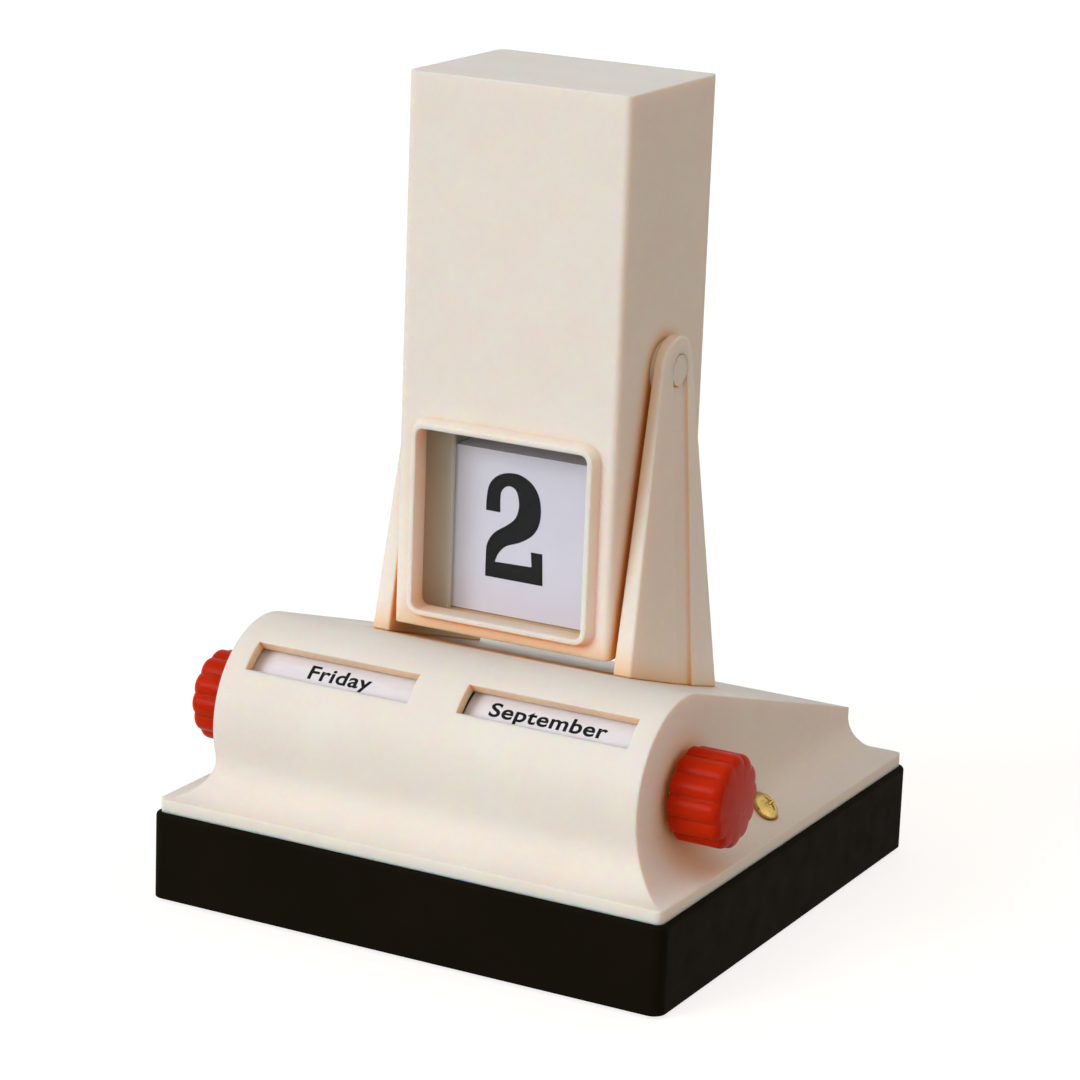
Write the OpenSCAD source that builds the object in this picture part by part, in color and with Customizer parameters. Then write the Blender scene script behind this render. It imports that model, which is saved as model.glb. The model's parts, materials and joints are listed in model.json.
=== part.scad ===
// Perpetual desk calendar: a tower of date cards that flips over between two posts,
// above a console that holds a weekday drum and a month drum on one axis.
// Millimetres. X is the width, Y the depth (towards the back), Z is up.
// The origin is the centre of the base, on the table.

/* [Overall] */
// Width of the plinth
base_w = 110; // [108:1:130]
// Depth of the plinth
base_d = 110; // [106:1:126]

/* [Plinth] */
// Height of the plinth's top above the table
plinth_top = 18; // [15:0.5:18.5]
// Radius of the plinth's upright corners
plinth_corner_r = 2.5; // [1.5:0.5:5]
// Wall of the plinth
plinth_wall = 2.6; // [2:0.1:3.5]
// Thickness of the plinth's top plate
plinth_plate_t = 2.4; // [2:0.1:3.2]
// Thickness of the bottom plate
bottom_t = 2; // [1.6:0.1:3]
// Gap round the bottom plate
bottom_gap = 0.2; // [0.1:0.05:0.4]
// How far the bottom plate lies above the plinth's lower edge
bottom_recess = 0.6; // [0.4:0.1:1.2]
// Radius of a rubber foot
foot_r = 5.5; // [4:0.5:8]
// How far a foot stands below the plinth
foot_proud = 0.8; // [0.5:0.1:1.5]
// Depth of the pocket that a foot is glued into
foot_pocket = 0.6; // [0.4:0.1:1]
// Distance of a foot's centre from the plinth's sides
foot_inset = 19; // [18:1:26]
// Distance of a bottom screw from the plinth's sides
base_screw_inset = 7.6; // [7:0.2:9]

/* [Console cover] */
// Step from the plinth's side in to the cover's rim
rim_inset = 1; // [0.5:0.1:1.4]
// Height of the cover's upright rim
rim_h = 2.6; // [1.5:0.1:3.2]
// Wall of the cover
cover_wall = 2.2; // [1.8:0.1:2.4]
// Radius of the hollow flare at the sides and the back
flare_r = 8.6; // [7:0.2:9]
// Radius of the front barrel
barrel_r = 18.2; // [17.5:0.1:18.6]
// Distance of the barrel's axis behind the plinth's front
barrel_back = 24.7; // [24:0.1:26]
// Height of the barrel's axis above the plinth
barrel_rise = 17.1; // [16.8:0.1:17.6]
// Slope of the deck behind the barrel, in degrees
deck_slope = 17; // [15:0.5:17.5]
// Angle from the barrel's top back to the deck's start
deck_start = 21; // [20:0.5:24]

/* [Slots] */
// Length of a viewing slot
slot_l = 35.6; // [30:0.2:36]
// Height of a viewing slot, across the barrel
slot_h = 6.4; // [5:0.1:8]
// Width of the bridge between the two slots
slot_bridge = 10.6; // [10:0.2:12]
// Angle of the slots above the horizontal
slot_angle = 49; // [42:1:56]

/* [Drums] */
// Clearance between the printed band and the cover
drum_gap = 1.1; // [0.8:0.1:1.6]
// Wall of a drum
drum_wall = 1.6; // [1.2:0.1:2.4]
// Thickness of the printed band
band_t = 0.3; // [0.2:0.05:0.5]
// Step from a drum's end in to its printed band
band_margin = 0.3; // [0.2:0.1:0.5]
// Gap between a drum's end and what it turns beside
drum_end_gap = 0.8; // [0.5:0.1:1.2]
// Radius of a drum's hub
drum_hub_r = 4.4; // [4:0.1:6]
// Thickness of a drum's web
drum_web_t = 2; // [1.5:0.1:3]
// Radius of the shafts
shaft_r = 2.5; // [2:0.1:2.6]
// Running clearance of the shafts, on the radius
shaft_clearance = 0.06; // [0.03:0.01:0.1]
// Gap between the ends of the two shafts
shaft_end_gap = 1; // [0.6:0.2:2]

/* [Knobs] */
// Radius of a knob over its lobes
knob_r = 9; // [7.5:0.1:9.2]
// Length of a knob
knob_l = 10.8; // [8:0.2:12]
// Number of lobes
knob_lobes = 12; // [10:1:14]
// Radius of one lobe
lobe_r = 2.7; // [2.5:0.1:3.2]
// Radius of a knob's edges
knob_edge_r = 1.2; // [1:0.1:1.4]
// Gap between a knob and its bush
knob_gap = 0.4; // [0.3:0.1:0.8]
// Depth of the shaft's socket in a knob
knob_socket = 7; // [5:0.5:7.5]

/* [Bearings] */
// Outer radius of a bush
bush_r = 4; // [3.6:0.1:4.4]
// Radius of a bush's flange
bush_flange_r = 5.2; // [4.8:0.1:5.4]
// Thickness of a bush's flange
bush_flange_t = 0.8; // [0.6:0.1:1.2]
// Thickness of the bracket between the drums
bracket_t = 2.5; // [2:0.1:3]
// Length of the bracket's bearing
bracket_hub_l = 8; // [7:0.2:8.4]
// Radius of the bracket's bearing
bracket_hub_r = 5; // [4.5:0.1:6]
// Radius of the bracket's round top
bracket_top_r = 7; // [6:0.2:8]
// Width of the bracket's foot
bracket_foot_w = 13; // [12.8:0.2:16]
// Length of the bracket's foot
bracket_foot_l = 9; // [7:0.5:12]
// Thickness of the bracket's foot
bracket_foot_t = 2; // [1.5:0.1:3]
// Gap between the bracket's foot and the drums
bracket_foot_gap = 1; // [0.5:0.1:2]
// Distance of the bracket's two screws from its middle
bracket_screw_x = 4; // [3.9:0.1:4.2]

/* [Posts] */
// Thickness of a post at its pivot
post_t = 2.8; // [2.4:0.1:4]
// Radius of a post's round top
post_top_r = 6.5; // [5.6:0.1:7.5]
// Slope of a post's two edges from upright, in degrees
post_slope = 11.2; // [9:0.2:12]
// Flare of a post's outer side towards its foot, in degrees
post_flare = 3.8; // [2:0.2:5]
// Fall of a post's outer side away from its ridge, in degrees
post_facet = 11; // [6:1:12]
// Width of the channel in a post's ridge
channel_w = 6; // [4.6:0.2:6]
// Depth of that channel
channel_depth = 0.9; // [0.4:0.1:1.2]
// Distance of a post's two screws from its middle
post_screw_y = 9; // [7:0.5:10]
// Length of a post screw's thread
post_screw_l = 10; // [9:0.5:12]

/* [Pivots] */
// Radius of a pivot's journal
journal_r = 3; // [2.6:0.1:3.4]
// Running clearance of a journal, on the radius
journal_clearance = 0.06; // [0.03:0.01:0.1]
// Step from a post's face in to the journal's end
journal_shy = 0.2; // [0.1:0.1:0.6]
// Radius of the stub that is pressed into the tower
stub_r = 2; // [1.5:0.1:2.2]
// Radius of the boss inside the tower
stub_boss_r = 4.5; // [3.6:0.1:5.5]
// Length of that boss
stub_boss_l = 2.2; // [1.5:0.1:2.6]
// Radius of a washer
washer_r = 5.5; // [4.5:0.1:5.6]
// Thickness of a washer
washer_t = 0.9; // [0.7:0.1:1.5]
// Gap between a washer and its post
washer_gap = 0.15; // [0.1:0.05:0.3]

/* [Tower] */
// Width of the tower
tower_w = 46.8; // [46:0.2:48]
// Depth of the tower
tower_d = 35.4; // [33:0.2:36]
// Height of the tower
tower_h = 107; // [100:0.5:125]
// Place of the tower's axis in front of the base's middle
tower_front = 1.5; // [0:0.5:2.5]
// Clearance between the tower's ends and the barrel as the tower flips
swing_gap = 2.44; // [1.5:0.01:6]
// Wall of the tower
tower_wall = 2.2; // [1.8:0.1:2.3]
// Radius of the tower's upright edges
tower_edge_r = 1.4; // [0.6:0.1:1.8]
// Gap round the back plate
back_gap = 0.15; // [0.1:0.05:0.3]
// Width of the ledge that the back plate rests on
ledge_w = 1.2; // [0.8:0.1:1.3]
// Thickness of that ledge
ledge_t = 1.4; // [1:0.1:2]

/* [Date windows] */
// Width of a window's opening
window_w = 36.8; // [32:0.2:37]
// Height of a window's opening
window_h = 35.8; // [32:0.2:37]
// Distance of the opening from the tower's end
window_end = 3.8; // [3.6:0.1:5]
// Radius of the opening's corners
window_corner_r = 1.6; // [1:0.1:3]
// Width of the raised frame round a window, at its foot
bezel_w = 1.9; // [1.4:0.1:2]
// Width of the raised frame's front edge
bezel_lip_w = 1; // [0.6:0.1:1.2]
// Height of the raised frame
bezel_t = 2.1; // [1:0.1:2.6]
// Lap of the clear pane over the wall round the opening
pane_lap = 1.3; // [1:0.1:1.4]
// Thickness of a pane
pane_t = 1.2; // [0.8:0.1:2]

/* [Date cards] */
// Width of a date card
card_w = 32; // [30:0.2:33]
// Height of a date card
card_h = 32.4; // [31:0.2:36]
// Thickness of a date card
card_t = 1.1; // [0.8:0.05:1.15]
// Gap between two cards
card_gap = 0.08; // [0.05:0.01:0.1]
// Number of cards: each side carries one date
card_count = 16; // [12:1:16]
// Radius of a card's corners
card_corner_r = 1; // [0.5:0.1:3]
// Gap above and below the stack at its two stops
card_end_gap = 0.2; // [0.1:0.05:0.4]
// Clearance between the stack and its rails
rail_gap = 0.3; // [0.2:0.05:0.4]
// Wall of a rail
rail_t = 1.2; // [0.9:0.1:1.5]
// Lap of a rail over the stack's corner
rail_lap = 0.8; // [0.6:0.1:1.5]

/* [Screws] */
// Radius of a brass side screw's head
brass_head_r = 3; // [2.6:0.1:3.4]
// Height of that head
brass_head_h = 2.1; // [1.6:0.1:2.6]
// Radius of its thread
brass_thread_r = 1.4; // [1.1:0.1:1.7]
// Length of its thread
brass_thread_l = 10; // [9.5:0.5:12]
// Clearance round the brass head
brass_head_gap = 0.3; // [0.2:0.1:0.5]
// Place of the brass screws in front of the base's middle
brass_front = -1; // [-4:0.5:6]
// Radius of a steel screw's head
head_r = 2.3; // [2:0.1:2.4]
// Height of that head
head_h = 1.3; // [1:0.1:1.6]
// Radius of its thread
thread_r = 1.2; // [0.9:0.1:1.3]
// Radius of the boss round a screw
boss_r = 3.6; // [3.2:0.1:4]
// Height of a post screw's boss under the deck
post_boss_h = 1; // [0.6:0.1:2]
// Length of a bottom screw
base_screw_l = 8; // [6:0.5:10]
// Width of a cross recess
cross_w = 0.7; // [0.5:0.1:0.9]
// Depth of a cross recess
cross_depth = 0.8; // [0.5:0.1:1]

/* [Hidden] */
$fn = 96;

cream = [0.92, 0.86, 0.78];
black = [0.09, 0.08, 0.07];
red = [0.70, 0.13, 0.07];
brass = [0.78, 0.64, 0.30];
steel = [0.70, 0.71, 0.72];
paper = [0.88, 0.88, 0.93];
rubber = [0.13, 0.13, 0.13];
nylon = [0.82, 0.82, 0.78];
rail_grey = [0.60, 0.60, 0.55];
clear = [0.80, 0.88, 0.86, 0.35];

// Overshoot of a cut past the face it opens, and of a joined shape into its neighbour
cut = 1;
// Longer than the whole object, for half spaces
far = 400;

// Plinth
foot_x = base_w / 2 - foot_inset;
foot_y = base_d / 2 - foot_inset;
base_screw_x = base_w / 2 - base_screw_inset;
base_screw_y = base_d / 2 - base_screw_inset;
bottom_z = foot_proud + bottom_recess;
bottom_top = bottom_z + bottom_t;
plinth_in_z = plinth_top - plinth_plate_t;

// Console cover
rim_x = base_w / 2 - rim_inset;
rim_y = base_d / 2 - rim_inset;
rim_top = plinth_top + rim_h;
wall_x = rim_x - flare_r;
wall_y = rim_y - flare_r;
flare_z = rim_top + flare_r;
axis_y = -base_d / 2 + barrel_back;
axis_z = plinth_top + barrel_rise;
// The front flare starts level at the rim and ends tangent to the barrel
front_run = axis_y + rim_y;
front_rise = axis_z - rim_top;
front_flare_r = (front_run ^ 2 + front_rise ^ 2 - barrel_r ^ 2) / (2 * (barrel_r + front_rise));
inner_x = wall_x - cover_wall;
inner_y = wall_y - cover_wall;
inner_front = front_flare_r - rim_y + cover_wall;
inner_r = barrel_r - cover_wall;

// Height of the deck, a plane that starts on a barrel of the given radius
function deck_at(y, r) =
    axis_z + r * cos(deck_start) - (y - axis_y - r * sin(deck_start)) * tan(deck_slope);

// Drums
band_r = inner_r - drum_gap;
drum_r = band_r - band_t;
drum_start = bracket_hub_l / 2 + drum_end_gap;
drum_end = inner_x - drum_end_gap;
knob_start = wall_x + bush_flange_t + knob_gap;
slot_x = (slot_bridge + slot_l) / 2;
bracket_foot_y = axis_y + band_r + bracket_foot_gap;

// Tower and posts
// The tower's corners swing past the barrel at the stated clearance
swing_r = norm([tower_h, tower_d]) / 2;
pivot_y = -tower_front;
pivot_z = axis_z + sqrt((barrel_r + swing_gap + swing_r) ^ 2 - (pivot_y - axis_y) ^ 2);
tower_x = tower_w / 2;
tower_in_x = tower_x - tower_wall;
tower_in_y = tower_d / 2 - tower_wall;
tower_in_z = tower_h / 2 - tower_wall;
window_z = window_end + window_h / 2 - tower_h / 2;
post_x = tower_x + washer_t + washer_gap;
post_screw_x = post_x + post_t;

// Cards
stack_half = (card_count * (card_t + card_gap) - card_gap) / 2;
card_z = card_end_gap + card_h / 2 - tower_in_z;
rail_x = card_w / 2 + rail_gap;
rail_y = stack_half + rail_gap;

// Underside of the boss that a post screw's head bears on
function post_boss_z(y) = deck_at(y + boss_r, inner_r) - post_boss_h;

// ---- shared shapes ----

// Rectangle with round corners, centred
module round_rect(w, d, r) {
    square([w - 2 * r, d], center = true);
    square([w, d - 2 * r], center = true);
    for (x = [-1, 1], y = [-1, 1])
        translate([x * (w / 2 - r), y * (d / 2 - r)]) circle(r);
}

// Stands a Y-Z outline up and gives it a width along X, centred
module along_x(w) {
    rotate([90, 0, 90]) linear_extrude(w, center = true) children();
}

// Stands an X-Z outline up and gives it a depth along Y, centred
module along_y(d) {
    rotate([90, 0, 0]) linear_extrude(d, center = true) children();
}

// Copies what is drawn on the right to the left
module both_sides() {
    children();
    mirror([1, 0, 0]) children();
}

// Turns Z to the right and starts it on the drums' axis, at x
module on_drum_axis(x) {
    translate([x, axis_y, axis_z]) rotate([0, 90, 0]) children();
}

// Turns Z to the right and starts it on the tower's axis, at x
module on_pivot_axis(x) {
    translate([x, pivot_y, pivot_z]) rotate([0, 90, 0]) children();
}

// Places what belongs to the tower, drawn about its centre
module in_tower() {
    translate([0, pivot_y, pivot_z]) children();
}

module cross_recess(r) {
    for (a = [0, 90])
        rotate(a) cube([1.2 * r, cross_w, 2 * cross_depth], center = true);
}

// Domed screw: the head's underside is at the origin and the thread points down
module pan_screw(head_radius, head_height, thread_radius, length) {
    dome_r = (head_radius ^ 2 + head_height ^ 2) / (2 * head_height) + cut;
    difference() {
        intersection() {
            cylinder(r = head_radius, h = head_height);
            translate([0, 0, head_height - dome_r]) sphere(dome_r);
        }
        translate([0, 0, head_height]) cross_recess(head_radius);
    }
    translate([0, 0, -length]) cylinder(r = thread_radius, h = length + head_height / 3);
}

// Countersunk screw, head down: its flat face is at the origin and the thread points up
module flat_screw() {
    cylinder(r1 = head_r, r2 = thread_r, h = head_h);
    cylinder(r = thread_r, h = base_screw_l);
}

// ---- places of the fixings ----

module base_corners(x, y) {
    for (i = [-1, 1], j = [-1, 1])
        translate([i * x, j * y]) children();
}

module at_side_screw() {
    translate([rim_x, -brass_front, flare_z]) rotate([0, 45, 0])
        translate([0, 0, -flare_r]) children();
}

module at_post_screws() {
    for (i = [-1, 1]) {
        y = pivot_y + i * post_screw_y;
        translate([post_screw_x, y, post_boss_z(y)]) children();
    }
}

module at_bracket_screws() {
    for (i = [-1, 1])
        translate([i * bracket_screw_x, bracket_foot_y + bracket_foot_l / 2,
            plinth_top + bracket_foot_t]) children();
}

// ---- base ----

module plinth() {
    color(black) difference() {
        union() {
            difference() {
                translate([0, 0, foot_proud]) linear_extrude(plinth_top - foot_proud)
                    round_rect(base_w, base_d, plinth_corner_r);
                translate([0, 0, -cut]) linear_extrude(plinth_in_z + cut)
                    square([base_w - 2 * plinth_wall, base_d - 2 * plinth_wall], center = true);
            }
            base_corners(base_screw_x, base_screw_y) translate([0, 0, bottom_top])
                cylinder(r = boss_r, h = plinth_in_z - bottom_top + cut);
        }
        base_corners(base_screw_x, base_screw_y) translate([0, 0, bottom_z])
            cylinder(r = thread_r, h = base_screw_l);
        both_sides() at_side_screw() translate([0, 0, -2 * brass_thread_l])
            cylinder(r = brass_thread_r, h = 2 * brass_thread_l);
        at_bracket_screws() translate([0, 0, -2 * (bracket_foot_t + plinth_plate_t)])
            cylinder(r = thread_r, h = 2 * (bracket_foot_t + plinth_plate_t));
    }
}

module bottom_plate() {
    side_gap = 2 * (plinth_wall + bottom_gap);
    color(black) difference() {
        translate([0, 0, bottom_z]) linear_extrude(bottom_t)
            square([base_w - side_gap, base_d - side_gap], center = true);
        base_corners(foot_x, foot_y) cylinder(r = foot_r, h = bottom_z + foot_pocket);
        base_corners(base_screw_x, base_screw_y) translate([0, 0, bottom_z]) flat_screw();
    }
}

module base_screws() {
    color(steel) base_corners(base_screw_x, base_screw_y) translate([0, 0, bottom_z])
        difference() {
            flat_screw();
            cross_recess(head_r);
        }
}

module rubber_feet() {
    color(rubber) base_corners(foot_x, foot_y) cylinder(r = foot_r, h = bottom_z + foot_pocket);
}

// ---- console cover ----

// Hollow corner between a rim at (0, 0) and a wall that stands r to its left
module flare(r) {
    difference() {
        translate([-r - cut, -cut]) square([r + cut, r + cut]);
        translate([0, r]) circle(r);
    }
}

// The cover's outside as it is seen from the side
module cover_side() {
    width = 2 * rim_x;
    along_x(width) translate([-rim_y, plinth_top]) square([2 * rim_y, rim_h]);
    along_x(width) translate([axis_y, axis_z]) circle(barrel_r);
    along_x(width) polygon([
        [axis_y, plinth_top],
        [axis_y, axis_z],
        [axis_y + barrel_r * sin(deck_start), axis_z + barrel_r * cos(deck_start)],
        [wall_y, deck_at(wall_y, barrel_r)],
        [wall_y, plinth_top]
    ]);
    along_x(width) translate([rim_y, rim_top]) flare(flare_r);
    along_x(width) difference() {
        polygon([
            [-rim_y, rim_top - cut],
            [axis_y, rim_top - cut],
            [axis_y, axis_z],
            [-rim_y, rim_top + front_flare_r]
        ]);
        translate([-rim_y, rim_top + front_flare_r]) circle(front_flare_r);
    }
}

// The cover's outside as it is seen from the front
module cover_front() {
    depth = 2 * rim_y;
    translate([-wall_x, -rim_y, plinth_top]) cube([2 * wall_x, depth, far]);
    translate([-rim_x, -rim_y, plinth_top]) cube([2 * rim_x, depth, rim_h]);
    both_sides() along_y(depth) translate([rim_x, rim_top]) flare(flare_r);
}

module cover_cavity() {
    along_x(2 * inner_x) translate([axis_y, axis_z]) circle(inner_r);
    along_x(2 * inner_x) polygon([
        [inner_front, plinth_top - cut],
        [inner_front, axis_z],
        [axis_y, axis_z],
        [axis_y + inner_r * sin(deck_start), axis_z + inner_r * cos(deck_start)],
        [inner_y, deck_at(inner_y, inner_r)],
        [inner_y, plinth_top - cut]
    ]);
}

module console_cover() {
    color(cream) difference() {
        intersection() {
            cover_side();
            cover_front();
            translate([0, 0, plinth_top]) linear_extrude(far) round_rect(2 * rim_x, 2 * rim_y, plinth_corner_r - rim_inset);
        }
        difference() {
            cover_cavity();
            both_sides() at_post_screws() cylinder(r = boss_r, h = far);
        }
        for (i = [-1, 1])
            translate([i * slot_x, axis_y, axis_z]) rotate([-slot_angle, 0, 0])
                translate([0, -barrel_r, 0])
                    cube([slot_l, 2 * (cover_wall + cut), slot_h], center = true);
        both_sides() {
            on_drum_axis(inner_x - cut) cylinder(r = bush_r, h = cover_wall + 2 * cut);
            at_post_screws() translate([0, 0, -cut]) cylinder(r = thread_r, h = far);
            at_side_screw() {
                cylinder(r = brass_head_r + brass_head_gap, h = flare_r);
                translate([0, 0, -2 * brass_thread_l])
                    cylinder(r = brass_thread_r, h = 2 * brass_thread_l + cut);
            }
        }
    }
}

module side_screws() {
    color(brass) both_sides() at_side_screw()
        pan_screw(brass_head_r, brass_head_h, brass_thread_r, brass_thread_l);
}

// ---- posts ----

module right_post() {
    foot_half = post_top_r + pivot_z * tan(post_slope);
    color(cream) difference() {
        intersection() {
            translate([post_x + far / 2, pivot_y, pivot_z]) {
                along_x(far) circle(post_top_r);
                along_x(far) polygon([
                    [post_top_r, 0],
                    [foot_half, -pivot_z],
                    [-foot_half, -pivot_z],
                    [-post_top_r, 0]
                ]);
            }
            along_x(far) polygon([
                [-far, deck_at(-far, barrel_r)],
                [far, deck_at(far, barrel_r)],
                [far, far],
                [-far, 2 * far]
            ]);
            post_ridge() linear_extrude(far, center = true) polygon([
                [0, -channel_w / 2],
                [0, channel_w / 2],
                [-far * tan(post_facet), channel_w / 2 + far],
                [-far * tan(post_facet), -channel_w / 2 - far]
            ]);
        }
        post_ridge() translate([-channel_depth, -channel_w / 2, -far])
            cube([far, channel_w, far]);
        on_pivot_axis(post_x - cut)
            cylinder(r = journal_r + journal_clearance, h = post_t + 2 * cut);
        at_post_screws() cylinder(r = thread_r, h = post_screw_l);
    }
}

// Places what is drawn about the top of a post's ridge, with Z up along the ridge
module post_ridge() {
    translate([post_x + post_t, pivot_y, pivot_z]) rotate([0, -post_flare, 0]) children();
}

module left_post() {
    mirror([1, 0, 0]) right_post();
}

module post_screws() {
    color(steel) both_sides() at_post_screws()
        mirror([0, 0, 1]) pan_screw(head_r, head_h, thread_r, post_screw_l);
}

// ---- drums ----

module right_bush() {
    color(nylon) difference() {
        union() {
            on_drum_axis(inner_x) cylinder(r = bush_r, h = cover_wall + bush_flange_t);
            on_drum_axis(wall_x) cylinder(r = bush_flange_r, h = bush_flange_t);
        }
        on_drum_axis(inner_x - cut)
            cylinder(r = shaft_r + shaft_clearance, h = cover_wall + bush_flange_t + 2 * cut);
    }
}

module left_bush() {
    mirror([1, 0, 0]) right_bush();
}

module drum_bracket() {
    foot_end = bracket_foot_y + bracket_foot_l;
    color(nylon) difference() {
        union() {
            along_x(bracket_t) {
                translate([axis_y, axis_z]) circle(bracket_top_r);
                polygon([
                    [axis_y - bracket_top_r, plinth_top],
                    [axis_y - bracket_top_r, axis_z],
                    [axis_y + bracket_top_r, axis_z],
                    [foot_end, plinth_top + bracket_foot_t],
                    [foot_end, plinth_top]
                ]);
            }
            on_drum_axis(-bracket_hub_l / 2) cylinder(r = bracket_hub_r, h = bracket_hub_l);
            translate([-bracket_foot_w / 2, bracket_foot_y, plinth_top])
                cube([bracket_foot_w, bracket_foot_l, bracket_foot_t]);
        }
        on_drum_axis(-bracket_hub_l)
            cylinder(r = shaft_r + shaft_clearance, h = 2 * bracket_hub_l);
        at_bracket_screws() translate([0, 0, -2 * bracket_foot_t])
            cylinder(r = thread_r, h = 4 * bracket_foot_t);
    }
}

module bracket_screws() {
    color(steel) at_bracket_screws()
        pan_screw(head_r, head_h, thread_r, bracket_foot_t + plinth_plate_t);
}

module month_drum() {
    length = drum_end - drum_start;
    color(nylon) on_drum_axis(drum_start) difference() {
        cylinder(r = drum_r, h = length);
        translate([0, 0, -cut]) difference() {
            cylinder(r = drum_r - drum_wall, h = length + 2 * cut);
            cylinder(r = drum_hub_r, h = length + 2 * cut);
            translate([0, 0, cut + (length - drum_web_t) / 2]) cylinder(r = drum_r, h = drum_web_t);
        }
        translate([0, 0, -cut]) cylinder(r = shaft_r, h = length + 2 * cut);
    }
}

module month_band() {
    length = drum_end - drum_start - 2 * band_margin;
    color(paper) on_drum_axis(drum_start + band_margin) difference() {
        cylinder(r = band_r, h = length);
        translate([0, 0, -cut]) cylinder(r = drum_r, h = length + 2 * cut);
    }
}

module month_shaft() {
    color(steel) on_drum_axis(shaft_end_gap / 2)
        cylinder(r = shaft_r, h = knob_start + knob_socket - shaft_end_gap / 2);
}

module month_knob() {
    color(red) on_drum_axis(knob_start) difference() {
        intersection() {
            linear_extrude(knob_l) {
                circle(knob_r - lobe_r);
                for (i = [1 : knob_lobes])
                    rotate(i * 360 / knob_lobes) translate([knob_r - lobe_r, 0]) circle(lobe_r);
            }
            rotate_extrude() {
                square([knob_r - knob_edge_r, knob_l]);
                translate([0, knob_edge_r]) square([knob_r, knob_l - 2 * knob_edge_r]);
                for (z = [knob_edge_r, knob_l - knob_edge_r])
                    translate([knob_r - knob_edge_r, z]) circle(knob_edge_r);
            }
        }
        translate([0, 0, -cut]) cylinder(r = shaft_r, h = knob_socket + cut);
    }
}

module weekday_drum() {
    mirror([1, 0, 0]) month_drum();
}

module weekday_band() {
    mirror([1, 0, 0]) month_band();
}

module weekday_shaft() {
    mirror([1, 0, 0]) month_shaft();
}

module weekday_knob() {
    mirror([1, 0, 0]) month_knob();
}

// ---- tower ----

// Tapered block that the front window's raised frame is cut from, on the tower's front
module bezel_block() {
    straight_w = window_w - 2 * window_corner_r;
    straight_h = window_h - 2 * window_corner_r;
    translate([0, -tower_d / 2, window_z]) rotate([90, 0, 0]) {
        for (i = [-1, 1], j = [-1, 1])
            translate([i * straight_w / 2, j * straight_h / 2]) cylinder(
                r1 = window_corner_r + bezel_w, r2 = window_corner_r + bezel_lip_w, h = bezel_t);
        rotate([90, 0, 0]) linear_extrude(straight_h, center = true) bezel_section(window_w / 2);
        rotate([90, 0, 90]) linear_extrude(straight_w, center = true) bezel_section(window_h / 2);
    }
}

module bezel_section(half) {
    polygon([
        [-half - bezel_w, 0],
        [half + bezel_w, 0],
        [half + bezel_lip_w, bezel_t],
        [-half - bezel_lip_w, bezel_t]
    ]);
}

module front_opening() {
    translate([0, -tower_d / 2, window_z]) rotate([90, 0, 0])
        linear_extrude(4 * tower_wall, center = true)
            round_rect(window_w, window_h, window_corner_r);
}

module tower_shell() {
    color(cream) in_tower() difference() {
        union() {
            difference() {
                linear_extrude(tower_h, center = true) round_rect(tower_w, tower_d, tower_edge_r);
                translate([-tower_in_x, -tower_in_y, -tower_in_z])
                    cube([2 * tower_in_x, tower_d, 2 * tower_in_z]);
            }
            bezel_block();
            both_sides() {
                translate([tower_in_x - stub_boss_l, 0, 0]) rotate([0, 90, 0])
                    cylinder(r = stub_boss_r, h = stub_boss_l + cut);
                translate([tower_in_x - ledge_w, tower_in_y - ledge_t, -tower_in_z - cut])
                    cube([ledge_w + cut, ledge_t, 2 * (tower_in_z + cut)]);
            }
        }
        front_opening();
        rotate([0, 90, 0]) cylinder(r = stub_r, h = tower_w + 2 * cut, center = true);
    }
}

module tower_back() {
    color(cream) in_tower() difference() {
        union() {
            translate([0, tower_d / 2 - tower_wall / 2, 0])
                cube([2 * (tower_in_x - back_gap), tower_wall, 2 * (tower_in_z - back_gap)],
                    center = true);
            rotate([180, 0, 0]) bezel_block();
        }
        rotate([180, 0, 0]) front_opening();
    }
}

module front_pane() {
    color(clear) in_tower() translate([0, pane_t / 2 - tower_in_y, window_z])
        cube([window_w + 2 * pane_lap, pane_t, window_h + 2 * pane_lap], center = true);
}

module rear_pane() {
    color(clear) in_tower() translate([0, tower_in_y - pane_t / 2, -window_z])
        cube([window_w + 2 * pane_lap, pane_t, window_h + 2 * pane_lap], center = true);
}

module right_rail() {
    color(rail_grey) in_tower() {
        difference() {
            translate([card_w / 2 - rail_lap, -rail_y - rail_t, -tower_in_z])
                cube([rail_lap + rail_gap + rail_t, 2 * (rail_y + rail_t), 2 * tower_in_z]);
            translate([0, -rail_y, -far / 2]) cube([rail_x, 2 * rail_y, far]);
        }
        for (i = [0, 1])
            mirror([0, i, 0]) translate([rail_x + cut / 2, rail_y, -tower_in_z])
                cube([tower_in_x - rail_x - cut / 2, rail_t, 2 * tower_in_z]);
    }
}

module left_rail() {
    mirror([1, 0, 0]) right_rail();
}

module right_pivot() {
    color(cream) {
        on_pivot_axis(tower_in_x - stub_boss_l)
            cylinder(r = stub_r, h = stub_boss_l + tower_wall + cut);
        on_pivot_axis(tower_x)
            cylinder(r = journal_r, h = washer_t + washer_gap + post_t - journal_shy);
    }
}

module left_pivot() {
    mirror([1, 0, 0]) right_pivot();
}

module right_washer() {
    color(nylon) on_pivot_axis(tower_x) difference() {
        cylinder(r = washer_r, h = washer_t);
        translate([0, 0, -cut])
            cylinder(r = journal_r + journal_clearance, h = washer_t + 2 * cut);
    }
}

module left_washer() {
    mirror([1, 0, 0]) right_washer();
}

// ---- date cards ----

// Card number i, counted from the front
module card(i) {
    color(paper) in_tower()
        translate([0, i * (card_t + card_gap) + card_t / 2 - stack_half, card_z])
            along_y(card_t) round_rect(card_w, card_h, card_corner_r);
}

module front_card() {
    card(0);
}

module middle_cards() {
    for (i = [1 : card_count - 2])
        card(i);
}

module rear_card() {
    card(card_count - 1);
}

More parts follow.
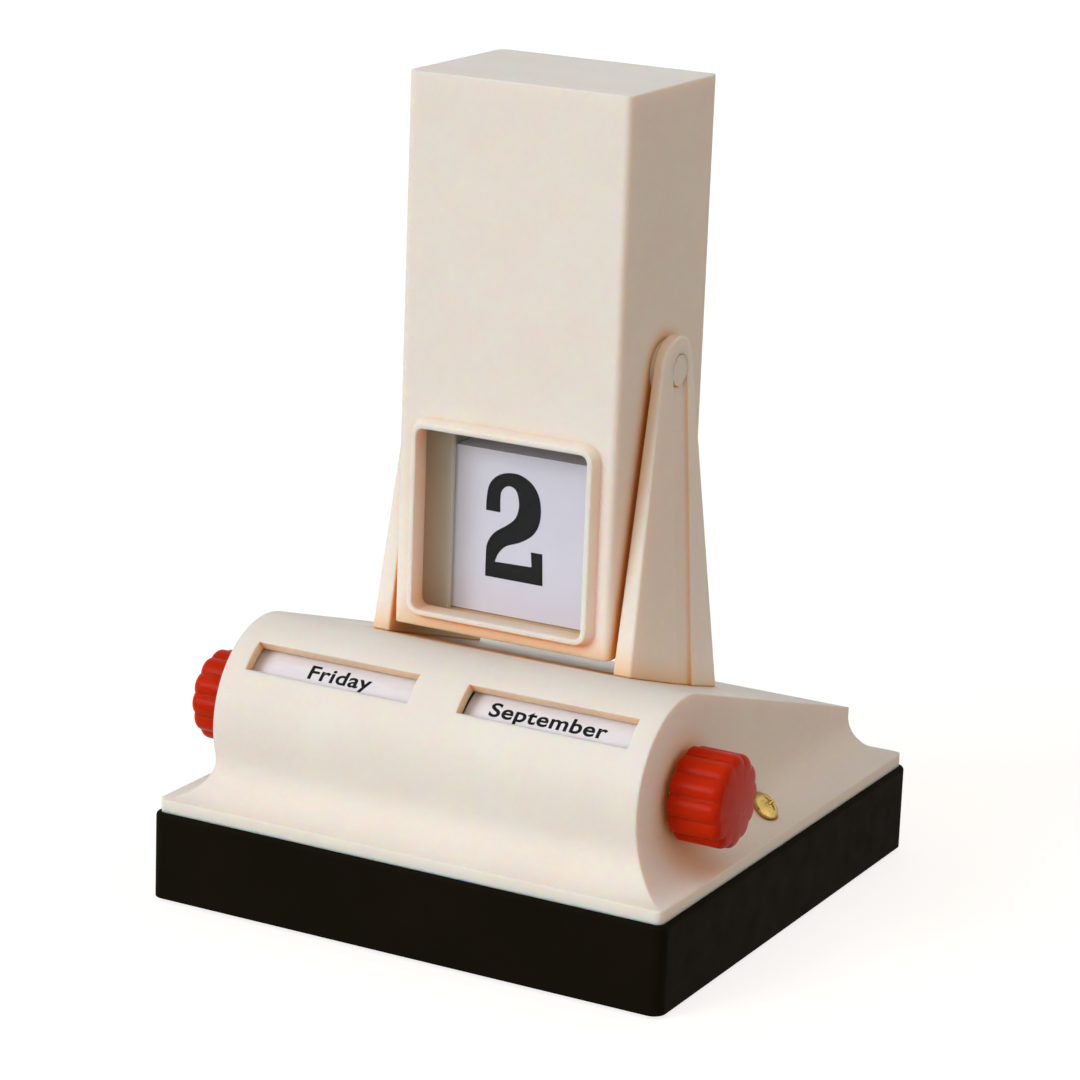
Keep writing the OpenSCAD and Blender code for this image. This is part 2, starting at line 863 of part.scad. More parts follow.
plinth();
bottom_plate();
base_screws();
rubber_feet();
console_cover();
side_screws();
left_post();
right_post();
post_screws();
left_bush();
right_bush();
drum_bracket();
bracket_screws();
weekday_drum();
weekday_band();
weekday_shaft();
weekday_knob();
month_drum();
month_band();
month_shaft();
month_knob();
tower_shell();
tower_back();
front_pane();
rear_pane();
left_rail();
right_rail();
left_pivot();
right_pivot();
left_washer();
right_washer();
front_card();
middle_cards();
rear_card();
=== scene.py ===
"""Perpetual desk calendar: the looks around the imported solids. Metres, in the solids' frame."""

import json
import math

import bmesh
import bpy
from mathutils import Matrix, Vector

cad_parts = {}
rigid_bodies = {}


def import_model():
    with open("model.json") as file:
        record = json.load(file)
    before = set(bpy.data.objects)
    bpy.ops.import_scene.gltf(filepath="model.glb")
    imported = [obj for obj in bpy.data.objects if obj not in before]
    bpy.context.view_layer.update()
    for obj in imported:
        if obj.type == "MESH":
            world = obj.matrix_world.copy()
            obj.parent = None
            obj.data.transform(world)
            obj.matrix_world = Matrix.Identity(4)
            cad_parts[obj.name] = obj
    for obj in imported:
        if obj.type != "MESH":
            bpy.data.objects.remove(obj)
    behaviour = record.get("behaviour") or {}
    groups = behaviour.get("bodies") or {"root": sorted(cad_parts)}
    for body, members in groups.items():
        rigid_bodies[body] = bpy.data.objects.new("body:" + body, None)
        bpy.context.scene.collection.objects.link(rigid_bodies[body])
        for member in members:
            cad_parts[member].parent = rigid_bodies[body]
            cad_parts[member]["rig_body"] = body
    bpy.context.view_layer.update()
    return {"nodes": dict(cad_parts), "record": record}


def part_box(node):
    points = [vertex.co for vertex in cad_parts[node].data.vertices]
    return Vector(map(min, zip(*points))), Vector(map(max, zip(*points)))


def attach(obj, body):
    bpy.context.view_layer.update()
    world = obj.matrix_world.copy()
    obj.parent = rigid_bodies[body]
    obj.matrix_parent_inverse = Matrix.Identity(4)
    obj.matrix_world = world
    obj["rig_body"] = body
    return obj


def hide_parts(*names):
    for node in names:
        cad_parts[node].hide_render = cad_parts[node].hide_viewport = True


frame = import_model()
MM = 0.001
scene = bpy.context.scene


# ---- places that the solids give ----

def centre(node):
    low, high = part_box(node)
    return (low + high) / 2


def half(node):
    low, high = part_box(node)
    return (high - low) / 2


DRUM_AXIS = centre("month_shaft")
BAND_R = half("month_band").z
PLINTH_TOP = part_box("plinth")[1].z
RIM_H = 2.6 * MM  # the console's upright rim on the plinth
FLARE_R = 8.6 * MM  # the hollow flare above that rim


# ---- materials ----

def srgb(r, g, b):
    """A display colour of 0 to 255 as the shader's linear colour."""
    def linear(v):
        v /= 255
        return v / 12.92 if v <= 0.04045 else ((v + 0.055) / 1.055) ** 2.4
    return (linear(r), linear(g), linear(b), 1)


def add_node(tree, kind, **props):
    node = tree.nodes.new(kind)
    for key, value in props.items():
        setattr(node, key, value)
    return node


class Material:
    """A node material on a Principled shader, with a few short ways to add texture."""

    def __init__(self, name, **sockets):
        self.mat = bpy.data.materials.new(name)
        self.mat.use_nodes = True
        self.tree = self.mat.node_tree
        self.shader = self.tree.nodes["Principled BSDF"]
        self.place = self.add("ShaderNodeTexCoord").outputs["Object"]
        for socket, value in sockets.items():
            self.shader.inputs[socket.replace("_", " ")].default_value = value

    def add(self, kind, **props):
        return add_node(self.tree, kind, **props)

    def link(self, a, b):
        self.tree.links.new(a, b)

    def noise(self, size, detail=3.0, stretch=(1, 1, 1)):
        """Noise whose features are about size metres across."""
        mapping = self.add("ShaderNodeMapping")
        mapping.inputs["Scale"].default_value = [s / size for s in stretch]
        self.link(self.place, mapping.inputs["Vector"])
        tex = self.add("ShaderNodeTexNoise")
        tex.inputs["Scale"].default_value = 1
        tex.inputs["Detail"].default_value = detail
        self.link(mapping.outputs[0], tex.inputs["Vector"])
        return tex.outputs["Fac"]

    def spread(self, value, low, high, start=0.3, end=0.7):
        """Maps start..end of value to low..high."""
        node = self.add("ShaderNodeMapRange")
        node.inputs["From Min"].default_value = start
        node.inputs["From Max"].default_value = end
        node.inputs["To Min"].default_value = low
        node.inputs["To Max"].default_value = high
        self.link(value, node.inputs["Value"])
        return node.outputs["Result"]

    def colours(self, value, *stops):
        """Base colour from a ramp: stops are (position, colour)."""
        ramp = self.add("ShaderNodeValToRGB")
        points = ramp.color_ramp.elements
        while len(points) < len(stops):
            points.new(0.5)
        for point, (position, colour) in zip(points, stops):
            point.position = position
            point.color = colour
        self.link(value, ramp.inputs["Fac"])
        self.link(ramp.outputs["Color"], self.shader.inputs["Base Color"])

    def paint_crease_shade(self, colour, reach):
        """Paints shade into the base colour, as a tint of colour, and dulls the gloss, where
        other surfaces stand within reach metres. Apply it after colours()."""
        near = self.add("ShaderNodeAmbientOcclusion", samples=8)
        near.inputs["Distance"].default_value = reach
        # painted shade: this tint darkens and warms the base colour in creases and between close
        # parts
        tint = self.add("ShaderNodeMix", data_type="RGBA")
        tint.inputs["A"].default_value = colour
        tint.inputs["B"].default_value = (1, 1, 1, 1)
        self.link(self.spread(near.outputs["AO"], 0, 1, 0.15, 0.85), tint.inputs["Factor"])
        mix = self.add("ShaderNodeMix", data_type="RGBA", blend_type="MULTIPLY")
        mix.inputs["Factor"].default_value = 1
        base = self.shader.inputs["Base Color"]
        self.link(base.links[0].from_socket, mix.inputs["A"])
        self.link(tint.outputs["Result"], mix.inputs["B"])
        self.link(mix.outputs["Result"], base)
        gloss = self.shader.inputs["Specular IOR Level"]
        self.link(self.spread(near.outputs["AO"], 0, gloss.default_value, 0.3, 0.9), gloss)

    def roughness(self, value, low, high):
        self.link(self.spread(value, low, high), self.shader.inputs["Roughness"])

    def bump(self, *layers, round_edges=0):
        """Bump from (height, strength, distance) layers, the finest last, over normals that are
        rounded across every edge within round_edges metres."""
        normal = None
        if round_edges:
            bevel = self.add("ShaderNodeBevel", samples=8)
            bevel.inputs["Radius"].default_value = round_edges
            normal = bevel.outputs["Normal"]
        for value, strength, distance in layers:
            node = self.add("ShaderNodeBump")
            node.inputs["Strength"].default_value = strength
            node.inputs["Distance"].default_value = distance
            self.link(value, node.inputs["Height"])
            if normal:
                self.link(normal, node.inputs["Normal"])
            normal = node.outputs["Normal"]
        self.link(normal, self.shader.inputs["Normal"])


def moulded(name, dark, light, rough, grain=0.05, round_edges=0, deep=None, **sockets):
    """Moulded plastic: cloudy colour, slightly uneven gloss, a faint waviness and a fine grain.
    The crease colour, where given, is shade painted into its creases."""
    crease_reach = 8 * MM
    m = Material(name, **sockets)
    m.colours(m.noise(18 * MM), (0.3, dark), (0.7, light))
    # painted shade: a tint multiplied into the colour in creases and between close parts
    if deep:
        m.paint_crease_shade(deep, crease_reach)
    m.roughness(m.noise(5 * MM, 5), rough - 0.05, rough + 0.06)
    m.bump((m.noise(12 * MM, 1), 0.06, 0.4 * MM), (m.noise(0.22 * MM, 2), grain, 0.05 * MM),
           round_edges=round_edges)
    return m.mat


def cream_moulded(name, round_edges):
    """Cream plastic that lets some light through, which warms its creases, with a warm shade
    painted into them as well.
    """
    return moulded(name, srgb(244, 236, 227), srgb(248, 241, 233), 0.44,
                   # the deep colour is warm shade painted into the creases
                   round_edges=round_edges, deep=srgb(255, 192, 108),
                   Subsurface_Weight=1.0, Subsurface_Radius=(1.0, 0.46, 0.2),
                   Subsurface_Scale=2.4 * MM, Specular_IOR_Level=0.08)


cream = cream_moulded("cream_moulded", 0.4 * MM)
cream_soft = cream_moulded("cream_soft_edges", 0.6 * MM)
black = moulded("black_moulded", srgb(20, 17, 9), srgb(24, 20, 12), 0.62, grain=0.06,
                Specular_IOR_Level=0.015)
grey = moulded("grey_green_moulded", srgb(212, 216, 202), srgb(222, 226, 213), 0.55)
white_nylon = moulded("white_nylon", srgb(214, 213, 204), srgb(222, 221, 213), 0.5,
                      Subsurface_Weight=0.2, Subsurface_Scale=1 * MM)
red = moulded("red_translucent", srgb(184, 34, 5), srgb(200, 46, 8), 0.3, grain=0.02,
              Subsurface_Weight=0.8, Subsurface_Radius=(1.0, 0.12, 0.03),
              Subsurface_Scale=4 * MM, Specular_IOR_Level=0.05)


def card_stock():
    """White plastic card: a bluish white with the faintest mottle."""
    m = Material("card_stock", Specular_IOR_Level=0.35)
    m.colours(m.noise(9 * MM), (0.3, srgb(230, 235, 254)), (0.7, srgb(235, 240, 255)))
    m.roughness(m.noise(2 * MM), 0.38, 0.5)
    m.bump((m.noise(0.3 * MM, 4), 0.08, 0.03 * MM))
    return m.mat


def band_paper():
    """Printed band: white paper, its fibres running round the drum."""
    m = Material("band_paper", Specular_IOR_Level=0.3)
    m.colours(m.noise(1.2 * MM, 5, (0.3, 1, 1)),
              (0.3, srgb(234, 236, 243)), (0.7, srgb(241, 243, 249)))
    m.roughness(m.noise(1 * MM), 0.55, 0.7)
    m.bump((m.noise(0.25 * MM, 5), 0.15, 0.03 * MM))
    return m.mat


def printing_ink():
    """Black ink: a little uneven in its cover, and slightly glossier than what it is on."""
    m = Material("printing_ink", Specular_IOR_Level=0.12)
    m.colours(m.noise(1.5 * MM, 4), (0.35, srgb(18, 20, 22)), (0.65, srgb(27, 29, 31)))
    m.roughness(m.noise(0.6 * MM), 0.35, 0.5)
    return m.mat


def metal(name, dark, light, rough, scratch):
    """Metal with brushed scratches along scratch's short direction and darker stains."""
    m = Material(name, Metallic=1.0)
    m.colours(m.noise(2.5 * MM, 4), (0.35, dark), (0.65, light))
    m.roughness(m.noise(0.5 * MM, 4, scratch), rough - 0.06, rough + 0.1)
    m.bump((m.noise(0.2 * MM, 3, scratch), 0.12, 0.02 * MM))
    return m.mat


def clear_acrylic():
    """Thin clear sheet: nearly all light goes straight through, the rest is gloss."""
    m = Material("clear_acrylic", Alpha=0.04, IOR=1.49)
    m.colours(m.noise(20 * MM), (0.3, srgb(60, 64, 62)), (0.7, srgb(72, 76, 74)))
    m.roughness(m.noise(6 * MM), 0.04, 0.08)
    return m.mat


def foot_rubber():
    m = Material("foot_rubber", Specular_IOR_Level=0.25)
    m.colours(m.noise(1.5 * MM, 5), (0.3, srgb(30, 30, 30)), (0.7, srgb(42, 41, 40)))
    m.roughness(m.noise(1 * MM), 0.7, 0.85)
    m.bump((m.noise(0.4 * MM, 4), 0.3, 0.08 * MM))
    return m.mat


card_white = card_stock()
paper = band_paper()
ink = printing_ink()
brass = metal("polished_brass", srgb(178, 154, 82), srgb(208, 184, 112), 0.22, (6, 1, 1))
steel = metal("zinc_steel", srgb(168, 170, 172), srgb(190, 192, 194), 0.3, (1, 6, 1))
clear = clear_acrylic()
rubber = foot_rubber()

DRESS = {
    "cream_plastic": cream, "black_plastic": black, "red_plastic": red,
    "clear_plastic": clear, "grey_plastic": grey, "nylon": white_nylon,
    "card_plastic": card_white, "printed_paper": paper, "brass": brass,
    "steel": steel, "rubber": rubber,
}
SOFT_EDGED = ("console_cover", "tower_shell", "tower_back")
SLOT_OF = {p["node"]: p["material_slot"] for p in frame["record"]["subparts"]}
for name, node in frame["nodes"].items():
    node.data.materials.clear()
    node.data.materials.append(cream_soft if name in SOFT_EDGED else DRESS[SLOT_OF[name]])


# ---- pieces ----

def add_piece(name, mesh, body, slot, material=None):
    obj = bpy.data.objects.new(name, mesh)
    scene.collection.objects.link(obj)
    mesh.materials.clear()
    mesh.materials.append(material or DRESS[slot])
    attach(obj, body)
    return obj


def finish_mesh(bm, name):
    """A mesh from bm, smooth all over."""
    for face in bm.faces:
        face.smooth = True
    mesh = bpy.data.meshes.new(name)
    bm.to_mesh(mesh)
    bm.free()
    return mesh


def weigh_normals(obj):
    """Keeps flat faces flat between smooth rounded edges."""
    normals = obj.modifiers.new("normals", "WEIGHTED_NORMAL")
    normals.mode = "FACE_AREA"
    normals.weight = 100


def soften(node, width):
    """Stands for a CAD node with its edges rounded to width."""
    flat_angle, sharp_angle = math.radians(0.4), math.radians(24)
    source = frame["nodes"][node]
    bm = bmesh.new()
    bm.from_mesh(source.data)
    bmesh.ops.remove_doubles(bm, verts=bm.verts, dist=1e-6)
    bmesh.ops.dissolve_limit(bm, angle_limit=flat_angle, verts=bm.verts, edges=bm.edges)
    edges = [e for e in bm.edges if e.calc_face_angle(0) >= sharp_angle]
    bmesh.ops.bevel(bm, geom=edges, offset=width, offset_type="OFFSET", segments=3,
                    profile=0.5, affect="EDGES", clamp_overlap=False, miter_outer="ARC")
    mesh = finish_mesh(bm, node + "_rounded")
    obj = add_piece(node + "_rounded", mesh, source["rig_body"], SLOT_OF[node])
    weigh_normals(obj)
    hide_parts(node)


soften("right_post", 0.4 * MM)
soften("left_post", 0.4 * MM)


def join_rings(bm, rings):
    """Quads between closed rings of equal length. Each ring is a list of vertices."""
    for a, b in zip(rings, rings[1:]):
        for i in range(len(a)):
            j = (i + 1) % len(a)
            bm.faces.new((a[i], a[j], b[j], b[i]))


def round_plinth():
    """The plinth's outside: upright corners of 2.5 mm and a rolled top edge, open below."""
    low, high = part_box("plinth")
    corner, roll, foot = 2.5 * MM, 0.8 * MM, 0.3 * MM
    corner_steps, roll_steps = 8, 5
    under_share = 0.96  # where the narrow face below the plinth ends, as a share of its half
    outline = []
    for k in range(4):
        for i in range(corner_steps + 1):
            turn = math.radians(90 * k + 90 * i / corner_steps)
            x_side = 1 if k in (0, 3) else -1
            y_side = 1 if k in (0, 1) else -1
            outline.append((x_side * (high.x - corner), y_side * (high.y - corner),
                            corner, math.cos(turn), math.sin(turn)))
    levels = [(low.z, 0), (low.z + foot, 0), (high.z - roll, 0)]
    for i in range(1, roll_steps + 1):
        turn = math.radians(90 * i / roll_steps)
        levels.append((high.z - roll + roll * math.sin(turn), roll * (1 - math.cos(turn))))
    bm = bmesh.new()
    rings = []
    for z, inset in levels:
        rings.append([bm.verts.new((x + (r - inset) * c, y + (r - inset) * s, z))
                      for x, y, r, c, s in outline])
    join_rings(bm, rings)
    bm.faces.new(rings[-1])
    under = [bm.verts.new((x * under_share + (r - roll) * c,
                           y * under_share + (r - roll) * s, low.z))
             for x, y, r, c, s in outline]
    join_rings(bm, [under, rings[0]])
    obj = add_piece("plinth_rolled", finish_mesh(bm, "plinth_rolled"), "base", "black_plastic")
    weigh_normals(obj)
    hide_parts("plinth")


# ---- knobs ----

def knob(node, body, side):
    """Red knob of twelve broad lobes with narrow grooves, a rolled rim and a slightly domed end.
    side is 1 for the right knob and -1 for the left one. The profile runs outwards from the
    console as (distance along the axis, depth below the crests)."""
    low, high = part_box(node)
    radius, length = half(node).z, high.x - low.x
    lobes, lobe_r, samples = 12, 2.7 * MM, 14
    lobe_at = radius - lobe_r

    def reach(turn):
        """Radius of the lobed outline at an angle."""
        a = (turn + math.pi / lobes) % (2 * math.pi / lobes) - math.pi / lobes
        return lobe_at * math.cos(a) + math.sqrt(lobe_r ** 2 - (lobe_at * math.sin(a)) ** 2)

    inner, outer, dome, hub = 0.9 * MM, 1.7 * MM, 0.35 * MM, 3 * MM
    inner_steps, body_steps, outer_steps, face_steps = 4, 4, 7, 7
    profile = [(0, radius - hub)]
    for i in range(inner_steps + 1):
        turn = math.radians(90 * i / inner_steps)
        profile.append((inner * (1 - math.cos(turn)), inner * (1 - math.sin(turn))))
    profile += [(inner + (length - dome - outer - inner) * i / body_steps, 0)
                for i in range(1, body_steps + 1)]
    for i in range(1, outer_steps + 1):
        turn = math.radians(90 * i / outer_steps)
        profile.append((length - dome - outer + outer * math.sin(turn),
                        outer * (1 - math.cos(turn))))
    face = radius - outer
    for i in range(1, face_steps):
        share = i / face_steps
        profile.append((length - dome * (1 - share) ** 2, outer + face * share))
    bm = bmesh.new()
    rings = []
    for along, inset in profile:
        ring = []
        for i in range(lobes * samples):
            turn = 2 * math.pi * i / (lobes * samples)
            scale = (radius - inset) / radius
            fade = min(1, max(0, (radius - inset) / face)) ** 2 if inset > outer else 1
            r = scale * (radius + (reach(turn) - radius) * fade)
            x = low.x + along if side > 0 else high.x - along
            ring.append(bm.verts.new((x, DRUM_AXIS.y + r * math.cos(turn) * side,
                                      DRUM_AXIS.z + r * math.sin(turn))))
        rings.append(ring)
    join_rings(bm, rings)
    bm.faces.new(rings[-1])
    bmesh.ops.recalc_face_normals(bm, faces=bm.faces)
    obj = add_piece(node + "_lobed", finish_mesh(bm, node + "_lobed"), body, "red_plastic")
    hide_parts(node)


round_plinth()
knob("month_knob", "month_drum", 1)
knob("weekday_knob", "weekday_drum", -1)


# ---- brass screws ----

def ramp(value, width):
    """0 below 0, 1 above width, and straight between them."""
    return min(1, max(0, value / width))


def screw_dip(x, y):
    """How deep the stamped cross recess and the ticks between its arms are, in millimetres."""
    arm_half, arm_taper, arm_l, arm_depth = 0.46, 0.1, 1.75, 0.95
    tick_half, tick_from, tick_to, tick_depth = 0.16, 0.9, 2.3, 0.2
    dip = 0
    for along, off in ((abs(x), abs(y)), (abs(y), abs(x))):
        side = ramp(arm_half - arm_taper * along - off, 0.1)
        dip = max(dip, arm_depth * side * ramp(arm_l - along, 0.5))
    slant, other = abs(x + y) / 2 ** 0.5, abs(x - y) / 2 ** 0.5
    for along, off in ((slant, other), (other, slant)):
        ends = ramp(along - tick_from, 0.1) * ramp(tick_to - along, 0.1)
        dip = max(dip, tick_depth * ramp(tick_half - off, 0.08) * ends)
    return dip


def brass_screws():
    """Both side screws: domed heads with a rolled edge and a stamped cross, and plain shanks.
    The profile is (radius, height), with None for a height on the dome."""
    radius, height, dome_r, edge = 3.0, 2.1, 4.19, 0.25  # millimetres, as all lengths here
    shank_r, shank_l = 1.4, 10
    crown_steps, around = 40, 120
    flare_axis = Vector((half("console_cover").x, centre("side_screws").y,
                         PLINTH_TOP + RIM_H + FLARE_R))
    foot = flare_axis - FLARE_R * Vector((1, 0, 1)).normalized()
    bm = bmesh.new()
    for side in (1, -1):
        lean = Matrix.Rotation(side * math.radians(45), 4, "Y")
        lean.translation = (side * foot.x, foot.y, foot.z)
        rings = []
        wall = height - dome_r + math.sqrt(dome_r ** 2 - radius ** 2)
        profile = [(shank_r, -shank_l), (shank_r, 0), (radius - 0.1, 0), (radius, 0.1),
                   (radius, wall - edge), (radius - 0.04, wall - 0.08)]
        profile += [(radius - 0.12 - (radius - 0.2) * (i / crown_steps), None)
                    for i in range(crown_steps + 1)]
        for r, z in profile:
            ring = []
            for i in range(around):
                turn = 2 * math.pi * i / around
                x, y = r * math.cos(turn), r * math.sin(turn)
                level = z
                if z is None:
                    level = height - dome_r + math.sqrt(dome_r ** 2 - r ** 2) - screw_dip(x, y)
                ring.append(bm.verts.new(lean @ (Vector((x, y, level)) * MM)))
            rings.append(ring)
        join_rings(bm, rings)
        bm.faces.new(rings[-1])
    bmesh.ops.recalc_face_normals(bm, faces=bm.faces)
    obj = add_piece("side_screw_heads", finish_mesh(bm, "side_screw_heads"), "base", "brass")
    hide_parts("side_screws")


brass_screws()


# ---- printing ----

TWO = """0,0c 0,3.6 0.24,6.5 1.75,8.8 4.3,10.55 6.1,12.15 6.83,14.3 6.68,16.3 6.05,17.7 4.93,18.25
3.85,18 2.98,17 2.76,15.5 2.86,12.9c -0.29,12.9c -0.2,15.7 0.3,18 1.7,19.7 3.94,20.7 6.7,20.8
9.35,19.6 11,17.5 11.65,14.7 11.35,11.75 10,9.45 7.4,7.7 4.4,6.5 2.8,4.9 2,3.1c 10.05,3.3c
9.8,6.2c 12.3,6.2c 12.6,0c"""
THREE = """0.1,14.8c 0.5,17.9 2.3,20 5.8,20.8 9.4,19.9 11.4,17.3 11.5,14.3 10.4,12.1 8.6,10.9c
11,9.6 12.1,6.9 11.8,3.6 9.8,1 6,-0.1 2.2,0.8 0.3,3.2 -0.1,6.2c 3.1,6.2c 3.4,4 4.5,2.7 6,2.4
7.7,3.1 8.3,5.4 8.1,7.9 6.8,9.3 4.6,9.6c 4.6,12c 6.6,12.3 7.6,13.8 7.7,16.2 7,17.9 5.8,18.4
4.4,17.8 3.4,16.4 3.2,14.8c"""


def outline(drawing, steps=12):
    """The points of a closed figure. drawing lists x,y in millimetres, with c at a corner;
    the line is smooth through the other points."""
    points = []
    for word in drawing.split():
        x, y = word.rstrip("c").split(",")
        points.append((Vector((float(x), float(y))), word.endswith("c")))
    line = []
    for i, (here, corner) in enumerate(points):
        after, after_corner = points[(i + 1) % len(points)]
        if corner and after_corner:
            line.append(here)
            continue
        before = here if corner else points[i - 1][0]
        beyond = after if after_corner else points[(i + 2) % len(points)][0]
        for k in range(steps):
            t = k / steps
            line.append(0.5 * ((2 * here) + (after - before) * t
                               + (2 * before - 5 * here + 4 * after - beyond) * t ** 2
                               + (3 * here - before - 3 * after + beyond) * t ** 3))
    return line


INK_GAP, INK_T = 0.01, 0.02  # millimetres, as the figures are drawn
FIGURE_STRETCH = 1.015
FIGURE_X = -1.9 * MM
FIGURE_DROP = 8.9 * MM  # from a card's middle to the foot of its figure


def print_figure(name, drawing, card, toward):
    """Prints a figure on a card's face. toward is -1 on the front face. It is 1 on the back one,
    where the figure stands on its head until the tower is flipped."""
    low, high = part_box(card)
    face = low.y if toward < 0 else high.y
    points = outline(drawing)
    across = (min(p.x for p in points) + max(p.x for p in points)) / 2
    bottom = centre(card).z + toward * FIGURE_DROP
    bm = bmesh.new()
    sheets = [[bm.verts.new((p.x - across, toward * depth, -toward * p.y * FIGURE_STRETCH))
               for p in points] for depth in (INK_GAP, INK_GAP + INK_T)]
    sides = [bm.faces.new(sheet) for sheet in sheets]
    join_rings(bm, sheets)
    bm.normal_update()
    bmesh.ops.triangulate(bm, faces=sides)
    bmesh.ops.recalc_face_normals(bm, faces=bm.faces)
    bmesh.ops.scale(bm, vec=(MM, MM, MM), verts=bm.verts)
    bmesh.ops.translate(bm, vec=(FIGURE_X, face, bottom), verts=bm.verts)
    mesh = bpy.data.meshes.new(name)
    bm.to_mesh(mesh)
    bm.free()
    add_piece(name, mesh, "date_cards", "card_plastic", ink)


print_figure("front_card_figure", TWO, "front_card", -1)
print_figure("rear_card_figure", THREE, "rear_card", 1)


def name_letters(word, cap_height):
    """A flat mesh of a bold wide word, its middle at 0 and its capitals' foot at y = 0."""
    cap_share, bold, spacing, stretch = 0.729, 0.022, 1.06, 1.22
    curve = bpy.data.curves.new("word", "FONT")
    curve.body = word
    curve.size = cap_height / cap_share
    curve.offset = bold * curve.size
    curve.space_character = spacing
    curve.fill_mode = "FRONT"
    letters = bpy.data.objects.new("word", curve)
    scene.collection.objects.link(letters)
    graph = bpy.context.evaluated_depsgraph_get()
    mesh = bpy.data.meshes.new_from_object(letters.evaluated_get(graph))
    bpy.data.objects.remove(letters)
    bpy.data.curves.remove(curve)
    xs = [v.co.x for v in mesh.vertices]
    middle = (min(xs) + max(xs)) / 2
    for v in mesh.vertices:
        v.co.x = (v.co.x - middle) * stretch
    return mesh


def print_names(piece, words, body, middle_x, shown):
    """Prints words round a drum's band, with the word that is shown behind the slot. Each word
    is cut into strips, so that it bends with the band."""
    cap, rise, lift = 3.15 * MM, math.radians(52), 0.02 * MM
    cut_from, cut_to, cut_every = -1.2 * MM, 3.6 * MM, 0.4 * MM
    bm = bmesh.new()
    for i, word in enumerate(words):
        angle = rise + 2 * math.pi * (i - words.index(shown)) / len(words)
        flat = name_letters(word, cap)
        part = bmesh.new()
        part.from_mesh(flat)
        bpy.data.meshes.remove(flat)
        line = cut_from
        while line < cut_to:
            bmesh.ops.bisect_plane(part, geom=part.verts[:] + part.edges[:] + part.faces[:],
                                   plane_co=(0, line, 0), plane_no=(0, 1, 0))
            line += cut_every
        r = BAND_R + lift
        for v in part.verts:
            at = angle + (v.co.y - cap / 2) / BAND_R
            v.co = Vector((middle_x + v.co.x, DRUM_AXIS.y - r * math.cos(at),
                           DRUM_AXIS.z + r * math.sin(at)))
        joined = bpy.data.meshes.new("part")
        part.to_mesh(joined)
        part.free()
        bm.from_mesh(joined)
        bpy.data.meshes.remove(joined)
    mesh = bpy.data.meshes.new(piece)
    bm.to_mesh(mesh)
    bm.free()
    add_piece(piece, mesh, body, "printed_paper", ink)


DAYS = ["Monday", "Tuesday", "Wednesday", "Thursday", "Friday", "Saturday", "Sunday"]
MONTHS = ["January", "February", "March", "April", "May", "June", "July", "August", "September",
          "October", "November", "December"]
print_names("weekday_names", DAYS, "weekday_drum", -22.7 * MM, "Friday")
print_names("month_names", MONTHS, "month_drum", 22.1 * MM, "September")


# ---- stage ----

def plane(name, size, z):
    bm = bmesh.new()
    bmesh.ops.create_grid(bm, x_segments=1, y_segments=1, size=size / 2)
    bmesh.ops.translate(bm, verts=bm.verts, vec=(0, 0, z))
    mesh = finish_mesh(bm, name)
    obj = bpy.data.objects.new(name, mesh)
    scene.collection.objects.link(obj)
    return obj


def seen_rays(tree):
    """1 where a camera, glossy or transmission ray looks, and 0 for the light on the object."""
    path = add_node(tree, "ShaderNodeLightPath")
    total = path.outputs["Is Camera Ray"]
    for ray in ("Is Glossy Ray", "Is Transmission Ray"):
        node = add_node(tree, "ShaderNodeMath", operation="MAXIMUM")
        tree.links.new(total, node.inputs[0])
        tree.links.new(path.outputs[ray], node.inputs[1])
        total = node.outputs[0]
    return total


def white_floor():
    """Pale paper, lit up to white where it is looked at, with the object's shadow left on it."""
    span, shine = 12, 0.79
    floor = plane("floor", span, 0)
    m = Material("floor_paper", Roughness=0.9, Specular_IOR_Level=0.1)
    m.colours(m.noise(0.4), (0.3, (0.43, 0.39, 0.34, 1)), (0.7, (0.45, 0.41, 0.36, 1)))
    glow = m.add("ShaderNodeMath", operation="MULTIPLY")
    m.link(seen_rays(m.tree), glow.inputs[0])
    glow.inputs[1].default_value = shine
    m.link(glow.outputs[0], m.shader.inputs["Emission Strength"])
    m.shader.inputs["Emission Color"].default_value = (1, 1, 1, 1)
    floor.data.materials.append(m.mat)


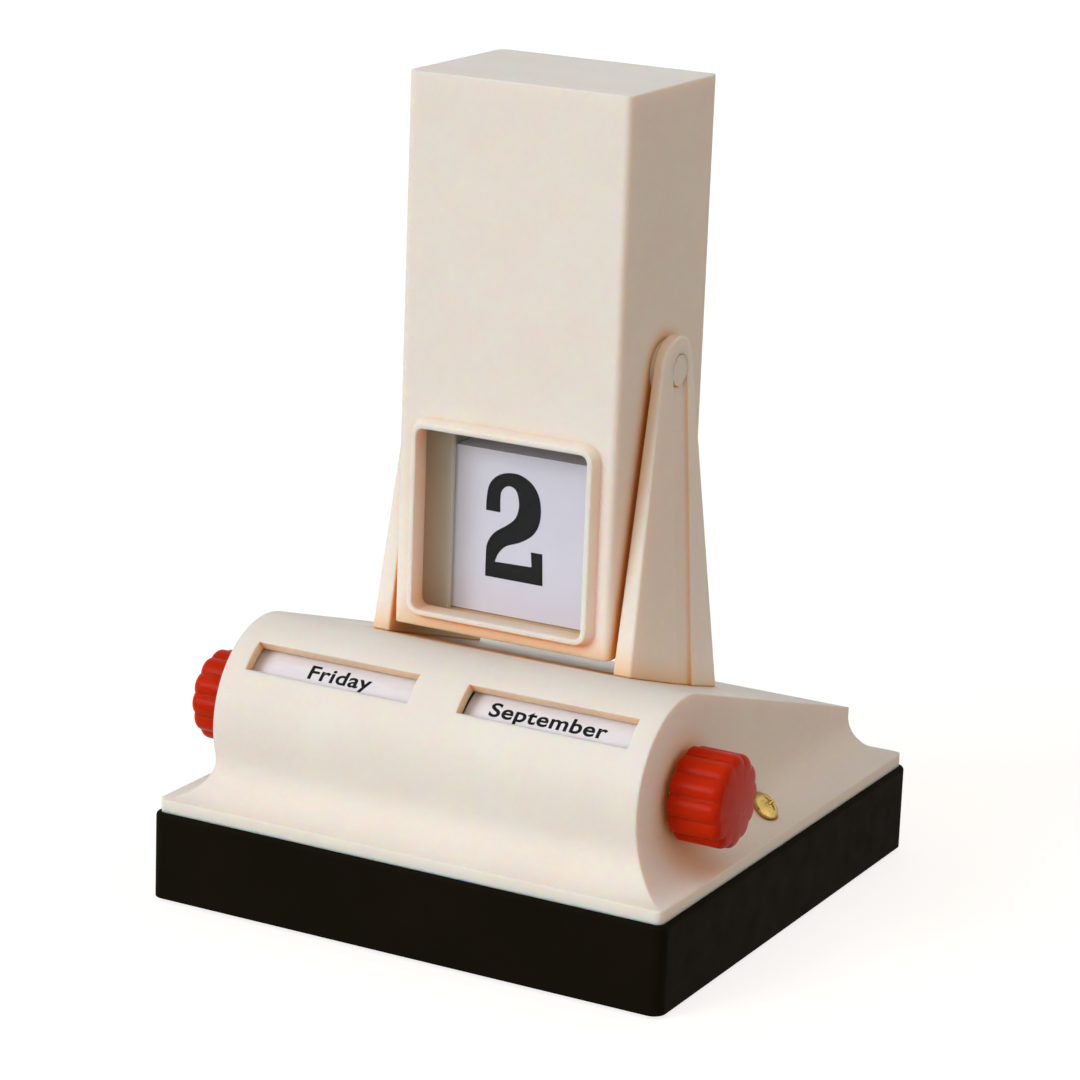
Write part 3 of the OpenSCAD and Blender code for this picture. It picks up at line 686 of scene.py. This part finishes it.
def sun(name, azimuth, elevation, spread, strength, colour):
    """A distant soft lamp. Azimuth 0 is in front, positive to the right; spread in degrees."""
    a, e = math.radians(azimuth), math.radians(elevation)
    light = bpy.data.lights.new(name, "SUN")
    light.angle = math.radians(spread)
    light.energy = strength * math.pi
    light.color = colour
    obj = bpy.data.objects.new(name, light)
    back = Vector((math.sin(a) * math.cos(e), -math.cos(a) * math.cos(e), math.sin(e)))
    obj.rotation_euler = back.to_track_quat("Z", "Y").to_euler()
    scene.collection.objects.link(obj)


def dress_world():
    """A weak sky for the light on the object, and plain white where the rays look."""
    world = bpy.data.worlds.new("world")
    scene.world = world
    world.use_nodes = True
    tree = world.node_tree
    sky = tree.nodes["Background"]
    sky.inputs["Color"].default_value = (0.99, 1, 0.98, 1)
    sky.inputs["Strength"].default_value = 0.43
    white = add_node(tree, "ShaderNodeBackground")
    white.inputs["Color"].default_value = (1, 1, 1, 1)
    mix = add_node(tree, "ShaderNodeMixShader")
    tree.links.new(seen_rays(tree), mix.inputs["Fac"])
    tree.links.new(sky.outputs[0], mix.inputs[1])
    tree.links.new(white.outputs[0], mix.inputs[2])
    tree.links.new(mix.outputs[0], tree.nodes["World Output"].inputs["Surface"])


white_floor()
sun("key", -28, 22, 30, 0.56, (0.93, 0.95, 1))
sun("fill", 66, 12, 90, 0.17, (1, 0.42, 0.12))
dress_world()


# ---- camera ----

def photo_camera():
    """The camera fitted to the photograph, rolled about its own line of sight."""
    azimuth, elevation, roll = (math.radians(v) for v in (27.998, 15.551, 2.18))
    distance = 0.75
    target = Vector((0, 0, 0.06))
    across, up_shift = -1.609 * MM, 8.351 * MM
    focal_px, frame_px, sensor = 3858.97, 1080, 36
    right = Vector((math.cos(azimuth), math.sin(azimuth), 0))
    back = Vector((math.sin(azimuth) * math.cos(elevation),
                   -math.cos(azimuth) * math.cos(elevation), math.sin(elevation)))
    up = back.cross(right)
    x = math.cos(roll) * right + math.sin(roll) * up
    y = -math.sin(roll) * right + math.cos(roll) * up
    place = target + across * x + up_shift * y + distance * back
    data = bpy.data.cameras.new("camera")
    data.sensor_width = sensor
    data.lens = focal_px / frame_px * sensor
    data.clip_start = 0.01
    camera = bpy.data.objects.new("camera", data)
    camera.matrix_world = Matrix((
        (x.x, y.x, back.x, place.x),
        (x.y, y.y, back.y, place.y),
        (x.z, y.z, back.z, place.z),
        (0, 0, 0, 1),
    ))
    scene.collection.objects.link(camera)
    scene.camera = camera


photo_camera()
scene.view_settings.view_transform = "Standard"
